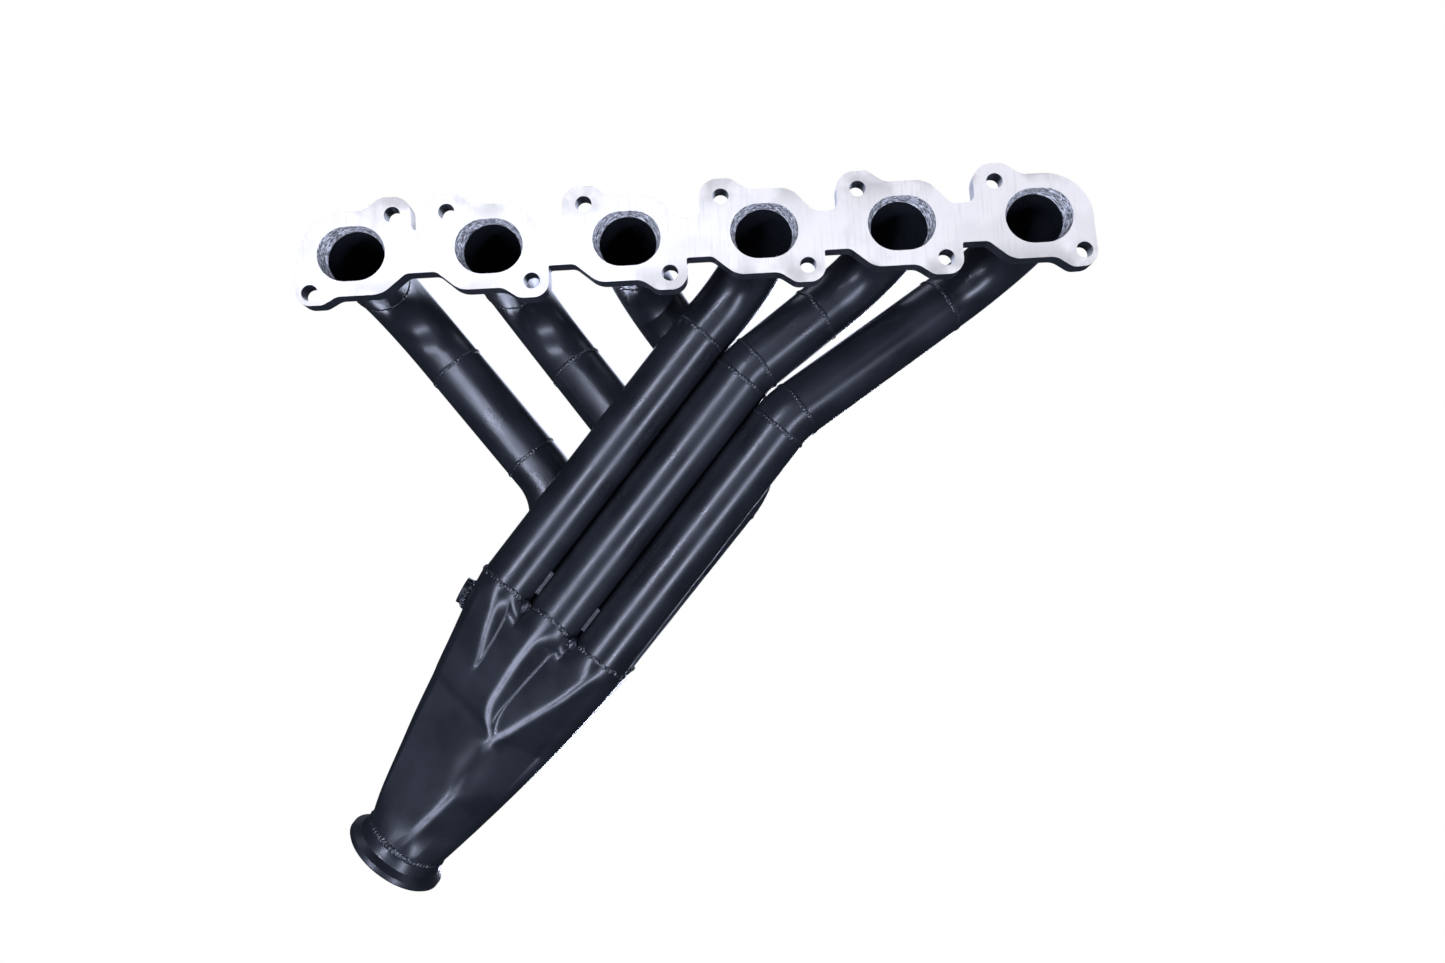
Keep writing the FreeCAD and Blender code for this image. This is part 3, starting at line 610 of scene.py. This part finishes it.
def ridge_highlight_and_dullness(place, share, wide):
    """Painted highlight along the crests that show, and dullness of the middle stretch."""
    total, painted_highlight, dull = 0, 0, 0
    for depth, gap, highlight_strength in ridges_at(place, share, wide):
        weight = np.exp((depth - LEVEL) / crease_blend(share))
        total = total + weight
        painted_highlight = painted_highlight + weight * highlight_strength * np.exp(-((gap + HIGHLIGHT_OFFSET) / HIGHLIGHT_WIDTH) ** 2)
        dull = dull + weight * np.exp(-(gap / DULL_WIDTH) ** 2)
    middle = smooth_step(*DULL_COMES, share) * (1 - smooth_step(*DULL_GOES, share))
    return painted_highlight / total, dull / total * middle


def smooth_course(share, shares, values):
    """Value along a course, with the bends between its points rounded off."""
    spread = np.linspace(-0.02, 0.02, 11)
    return sum(np.interp(share + step, shares, values) for step in spread) / len(spread)


def rise_shape(place, corner):
    """How far each column of the front shell's edge reaches up its tube, as a share."""
    lobe = np.cos(np.pi * (place - np.round(place))) ** 2
    weight = np.select([place < -0.5, place < 0.5], [0.6, 1.0], 0.25)
    return np.where(corner > 0, weight, lobe * weight)


def half_shell(name, front, material):
    outer, painted_highlight, dull = collector_skin(0, front)
    inner = collector_skin(SHELL_WALL, front)[0]
    ring = np.concatenate([outer, inner[:, ::-1]], axis=1)
    made = grid_mesh(name, ring, material, closed_v=True)
    for label, outside in (("painted_highlight", painted_highlight), ("dull", dull)):
        values = np.concatenate([outside, np.zeros_like(outside)], axis=1)
        layer = made.data.attributes.new(label, "FLOAT", "POINT")
        layer.data.foreach_set("value", values.ravel().astype(np.float32))
    work = bmesh.new()
    work.from_mesh(made.data)
    bmesh.ops.recalc_face_normals(work, faces=work.faces)
    seams = [edge for edge in work.edges if edge.is_manifold and edge.calc_face_angle(0) > 0.9]
    for edge in seams:
        edge.smooth = False
    work.to_mesh(made.data)
    work.free()
    return made


def collector(material):
    for name, front in (("collector_front_skin", True), ("collector_rear_skin", False)):
        piece = half_shell(name, front, material)
        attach(piece, "root")
        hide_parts("collector_front_shell" if front else "collector_rear_shell")


# ---------------------------------------------------------------- pieces

def runner_welds(material):
    dice = random.Random(SEED)
    for runner in range(1, PORTS + 1):
        node = f"runner_{runner}_weld_beads"
        rings = []
        for index, part in enumerate(loose_parts(node)):
            centre, axis = ring_of(part)
            rings.append(weld_ring(f"ring_{index}", centre, axis, TUBE_RADIUS, material, dice))
        weld_piece(f"runner_{runner}_rippled_welds", rings, node)


def weld_piece(name, parts, node):
    """Joins bead meshes into one piece that stands for a CAD weld."""
    piece = joined(name, parts)
    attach(piece, "root")
    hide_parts(node)


def bead_along(name, path, outward, width, height, material, dice, roughness=1.0):
    """Rippled bead along a path of points, standing out along a direction given at each point."""
    path, outward = np.array(path), np.array(outward)
    gaps = np.linalg.norm(np.diff(path, axis=0), axis=1)
    reached = np.concatenate([[0], np.cumsum(gaps)])
    steps = max(int(reached[-1] / BEAD_STEP), 8)
    place = np.linspace(0, reached[-1], steps)
    line = np.stack([np.interp(place, reached, path[:, axis]) for axis in range(3)], axis=1)
    out = np.stack([np.interp(place, reached, outward[:, axis]) for axis in range(3)], axis=1)
    out /= np.linalg.norm(out, axis=1)[:, None]
    way = np.gradient(line, axis=0)
    way /= np.linalg.norm(way, axis=1)[:, None]
    side = np.cross(way, out)
    across = np.linspace(-1, 1, 13)
    count = max(round(reached[-1] / RIPPLE_PITCH), 2)
    tall = np.array([1 + roughness * dice.uniform(-0.35, 0.3) for _ in range(count + 2)])
    broad = np.array([1 + roughness * dice.uniform(-0.2, 0.25) for _ in range(count + 2)])
    drift = np.array([roughness * dice.uniform(-0.3, 0.3) * MM for _ in range(count + 2)])
    phase = place[:, None] / reached[-1] * count + 0.8 * across ** 2
    whole = np.clip(phase.astype(int), 0, count + 1)
    part = phase - np.floor(phase)
    scallop = 0.3 + 0.7 * np.sin(math.pi * part) ** 0.7
    rise = height * (1 - across ** 2) ** 0.7 * scallop * tall[whole]
    rise[:, 0] = rise[:, -1] = -0.5 * MM
    taper = np.minimum(np.minimum(place, reached[-1] - place) / width, 1) ** 0.5
    rise = rise * taper[:, None] - 0.3 * MM * (1 - taper[:, None])
    level = across * width * broad[whole] + drift[whole]
    points = line[:, None] + level[..., None] * side[:, None] + rise[..., None] * out[:, None]
    return grid_mesh(name, points, material)


def tube_arc(runner, angles, levels, radius):
    """Points round a tail tube in the bundle at given angles from the row, and the outward directions."""
    column = {1: (-1, 1), 2: (0, 1), 3: (1, 1), 4: (-1, -1), 5: (0, -1), 6: (1, -1)}[runner]
    angle = np.radians(angles)
    along = column[0] * PITCH + radius * np.cos(angle)
    across = column[1] * PITCH / 2 + radius * np.sin(angle)
    out = np.cos(angle)[:, None] * ALONG + np.sin(angle)[:, None] * ACROSS
    return in_bundle(along, across, np.array(levels)), out


def inlet_weld(material):
    """Beads round the collector's edge, one arc for each tube, lumpy where two tubes meet."""
    dice = random.Random(SEED + 1)
    spans = {4: (-232, -42), 5: (-138, -42), 6: (-138, 52), 1: (128, 322), 2: (42, 138), 3: (-52, 138)}
    parts = []
    for runner, (first, last) in spans.items():
        angles = np.linspace(first, last, 60)
        rise = {4: 0.6, 5: 1.0, 6: 0.25}.get(runner, 0) * INLET_RISE
        shape = np.maximum(np.cos(np.radians(angles + 90)), 0) if runner > 3 else np.zeros(60)
        levels = -rise * shape ** 2 - 0.6 * MM
        path, out = tube_arc(runner, angles, levels, TUBE_RADIUS + 0.3 * MM)
        arc = bead_along(f"arc_{runner}", path, out, 2.2 * MM, 1.3 * MM, material, dice, roughness=1.4)
        parts.append(arc)
    for side in (-0.5, 0.5):
        for row in (-1, 1):
            parts.append(weld_lump(side * PITCH, row * (PITCH / 2 + 13 * MM), 1.5 * MM, material, dice))
    weld_piece("collector_inlet_rippled_weld", parts, "collector_inlet_weld")


def weld_lump(along, across, down, material, dice, size=4.2 * MM):
    """Uneven blob of weld metal in a valley."""
    work = bmesh.new()
    bmesh.ops.create_icosphere(work, subdivisions=4, radius=1)
    centre = INLET + ALONG * along + ACROSS * across + DOWN * down
    phases = [dice.uniform(0, 6.28) for _ in range(6)]
    for vertex in work.verts:
        x, y, z = vertex.co
        swell = 1 + 0.16 * math.sin(4 * x + phases[0]) * math.sin(5 * y + phases[1])
        swell += 0.1 * math.sin(9 * z + phases[2]) * math.sin(8 * x + phases[3])
        swell += 0.05 * math.sin(17 * y + phases[4]) * math.sin(15 * z + phases[5])
        place = centre + size * swell * (x * ALONG * 0.9 + y * ACROSS * 0.8 + z * DOWN * 1.3)
        vertex.co = Vector(place)
    mesh = bpy.data.meshes.new("lump")
    work.to_mesh(mesh)
    work.free()
    mesh.shade_smooth()
    mesh.materials.append(material)
    made = bpy.data.objects.new("lump", mesh)
    bpy.context.scene.collection.objects.link(made)
    return made


def fillet_welds(material):
    """Heavier beads where the tubes meet the flange and where the bung meets the collector."""
    dice = random.Random(SEED + 3)
    rings = []
    for index, part in enumerate(loose_parts("flange_weld_rings")):
        centre, axis = ring_of(part)
        rings.append(weld_ring(f"ring_{index}", centre, axis, TUBE_RADIUS, material, dice, 3 * MM, 2.2 * MM))
    weld_piece("flange_rippled_welds", rings, "flange_weld_rings")
    rings = []
    for index, part in enumerate(loose_parts("sensor_bung_weld")):
        centre, axis = ring_of(part)
        gap = part - centre
        reach = np.linalg.norm(gap - np.outer(gap @ axis, axis), axis=1)
        middle = (reach.max() + reach.min()) / 2
        radius = middle - 1 * MM
        rings.append(weld_ring(f"ring_{index}", centre, axis, radius, material, dice, 2.8 * MM, 2.6 * MM))
    weld_piece("sensor_bung_rippled_weld", rings, "sensor_bung_weld")


def outlet_weld(material):
    dice = random.Random(SEED + 2)
    centre = OUTLET_START + DOWN * 0.3 * MM
    ring = weld_ring("ring", centre, DOWN, OUTLET_RADIUS, material, dice, 2.6 * MM, 1.3 * MM)
    weld_piece("outlet_rippled_weld", [ring], "outlet_weld")


def paint(material, *names):
    for name in names:
        slots = nodes[name].data.materials
        slots.clear()
        slots.append(material)


# ---------------------------------------------------------------- stage

CAMERA_PLACE = Vector((7.8, -695.24, -265.34)) * MM
# Azimuth, elevation and roll of the camera's look, in degrees.
CAMERA_ANGLES = (0.108, 7.459, -3.25)
CAMERA_LENS = 25.91
LIGHT_COLOUR = (0.70, 0.76, 1.0)


def strip_light(name, middle, along, target, length, width, power):
    """Long area light whose length runs along a direction and whose face looks at a target."""
    data = bpy.data.lights.new(name, "AREA")
    data.shape = "RECTANGLE"
    data.size, data.size_y = length, width
    data.energy = power
    data.color = LIGHT_COLOUR
    light = bpy.data.objects.new(name, data)
    bpy.context.scene.collection.objects.link(light)
    back = (Vector(middle) - Vector(target)).normalized()
    side = Vector(along) - back * back.dot(Vector(along))
    side.normalize()
    up = back.cross(side)
    light.matrix_world = Matrix.Translation(middle) @ Matrix((side, up, back)).transposed().to_4x4()
    light.visible_camera = False
    return light


def camera():
    data = bpy.data.cameras.new("camera")
    data.sensor_width = 36
    data.lens = CAMERA_LENS
    data.clip_start, data.clip_end = 0.01, 50
    eye = bpy.data.objects.new("camera", data)
    bpy.context.scene.collection.objects.link(eye)
    azimuth, elevation, roll = (math.radians(a) for a in CAMERA_ANGLES)
    level_look = Vector((math.sin(azimuth), math.cos(azimuth), 0))
    look = level_look * math.cos(elevation) + Vector((0, 0, math.sin(elevation)))
    level = look.cross(Vector((0, 0, 1))).normalized()
    above = level.cross(look)
    right = level * math.cos(roll) + above * math.sin(roll)
    up = above * math.cos(roll) - level * math.sin(roll)
    eye.matrix_world = Matrix.Translation(CAMERA_PLACE) @ Matrix((right, up, -look)).transposed().to_4x4()
    bpy.context.scene.camera = eye
    return look


def floor():
    """Pale floor below the part that takes no part in its lighting."""
    mesh = bpy.data.meshes.new("floor")
    work = bmesh.new()
    bmesh.ops.create_grid(work, x_segments=8, y_segments=8, size=6)
    work.to_mesh(mesh)
    work.free()
    mesh.materials.append(floor_material())
    made = bpy.data.objects.new("floor", mesh)
    made.location = (0, 0, cad_bounds[0].z - 0.02)
    bpy.context.scene.collection.objects.link(made)
    made.visible_diffuse = made.visible_glossy = made.visible_shadow = False


def tent():
    """World that is white to the camera and dim in every reflection."""
    world = bpy.data.worlds.new("tent")
    bpy.context.scene.world = world
    world.use_nodes = True
    tree = world.node_tree
    tree.nodes.clear()
    path = tree.nodes.new("ShaderNodeLightPath")
    white = tree.nodes.new("ShaderNodeBackground")
    white.inputs[0].default_value = grey(1.0)
    dim = tree.nodes.new("ShaderNodeBackground")
    dim.inputs[0].default_value = grey(0.035, (0.75, 0.87, 1.15))
    mixed = tree.nodes.new("ShaderNodeMixShader")
    out = tree.nodes.new("ShaderNodeOutputWorld")
    tree.links.new(path.outputs["Is Camera Ray"], mixed.inputs[0])
    tree.links.new(dim.outputs[0], mixed.inputs[1])
    tree.links.new(white.outputs[0], mixed.inputs[2])
    tree.links.new(mixed.outputs[0], out.inputs[0])


def receivers(name, things):
    """Collection of the only objects that a light reaches."""
    chosen = bpy.data.collections.new(name)
    for thing in things:
        chosen.objects.link(thing)
    return chosen


def lights(look):
    """Two strips along the tubes in front, weaker ones behind, soft boxes, and fill for the flange."""
    flange = nodes["head_flange"]
    meshes = [thing for thing in bpy.context.scene.objects if thing.type == "MESH"]
    all_but_flange = receivers("all_but_flange_receives", [mesh for mesh in meshes if mesh != flange])
    flange_only = receivers("bare_flange_receives", [flange])
    down, back = Vector(DOWN), -look
    centre = Vector((0, 0.1, -0.2))
    level, upright = (1, 0, 0), (0, 0, 1)
    across = down.cross(back).normalized()
    if across.x < 0:
        across = -across

    for name, turn in (("left_strip", -25), ("right_strip", 36)):
        angle = math.radians(turn)
        way = back * math.cos(angle) + across * math.sin(angle)
        strip_light(name, centre + way * 1.5 + down * 0.35, down, centre, 1.7, 0.045, 26)
    low_left = centre + Vector((-0.86, -0.5, -0.12)) * 1.5 + down * 0.2
    strip_light("low_left_card", low_left, upright, centre + down * 0.2, 1.0, 0.9, 0.5)
    # The rear strips would shine through the bolt holes, so they pass the flange by.
    for name, sideways in (("rear_strip_left", -0.25), ("rear_strip_right", 0.25)):
        strip = strip_light(name, (sideways, 1.8, -0.2), down, centre, 1.7, 0.06, 9)
        strip.light_linking.receiver_collection = all_but_flange
    strip_light("rear_softbox", (0.2, 1.7, 0.5), level, centre, 1.6, 0.8, 12)
    strip_light("side_softbox", (1.7, 0.1, -0.1), upright, centre, 1.4, 0.4, 4)
    strip_light("top_softbox", (0.1, 0.2, 1.5), level, centre, 1.6, 0.5, 7)
    fills = (
        ("fill_low", (0, -0.7, -0.9), level, 1.6, 13),
        ("fill_right", (1.3, -0.6, 0.25), upright, 0.9, 9),
        ("fill_left", (-1.3, -0.6, 0.25), upright, 0.9, 5),
    )
    for name, place, along, length, power in fills:
        fill = strip_light(name, place, along, (0, 0, 0), length, 0.6, power)
        fill.light_linking.receiver_collection = flange_only
    front = centre + back * 1.7 + Vector((0, 0, 0.35))
    strip_light("front_softbox", front, level, centre, 1.6, 1.0, 4.5)


def stage():
    bpy.context.scene.view_settings.view_transform = "Standard"
    look = camera()
    floor()
    tent()
    lights(look)


# ---------------------------------------------------------------- assembly

black = coating()
weld_black = weld_coating()
bare_and_painted_lit = flange_metal()
paint(black, *[name for name in nodes if name != "head_flange"])
paint(weld_black, *[name for name in nodes if "weld" in name])
paint(bare_and_painted_lit, "head_flange")
paint(rough_coating(), "tie_strips")
runner_welds(weld_black)
collector(black)
inlet_weld(weld_black)
fillet_welds(weld_black)
outlet_weld(weld_black)
stage()
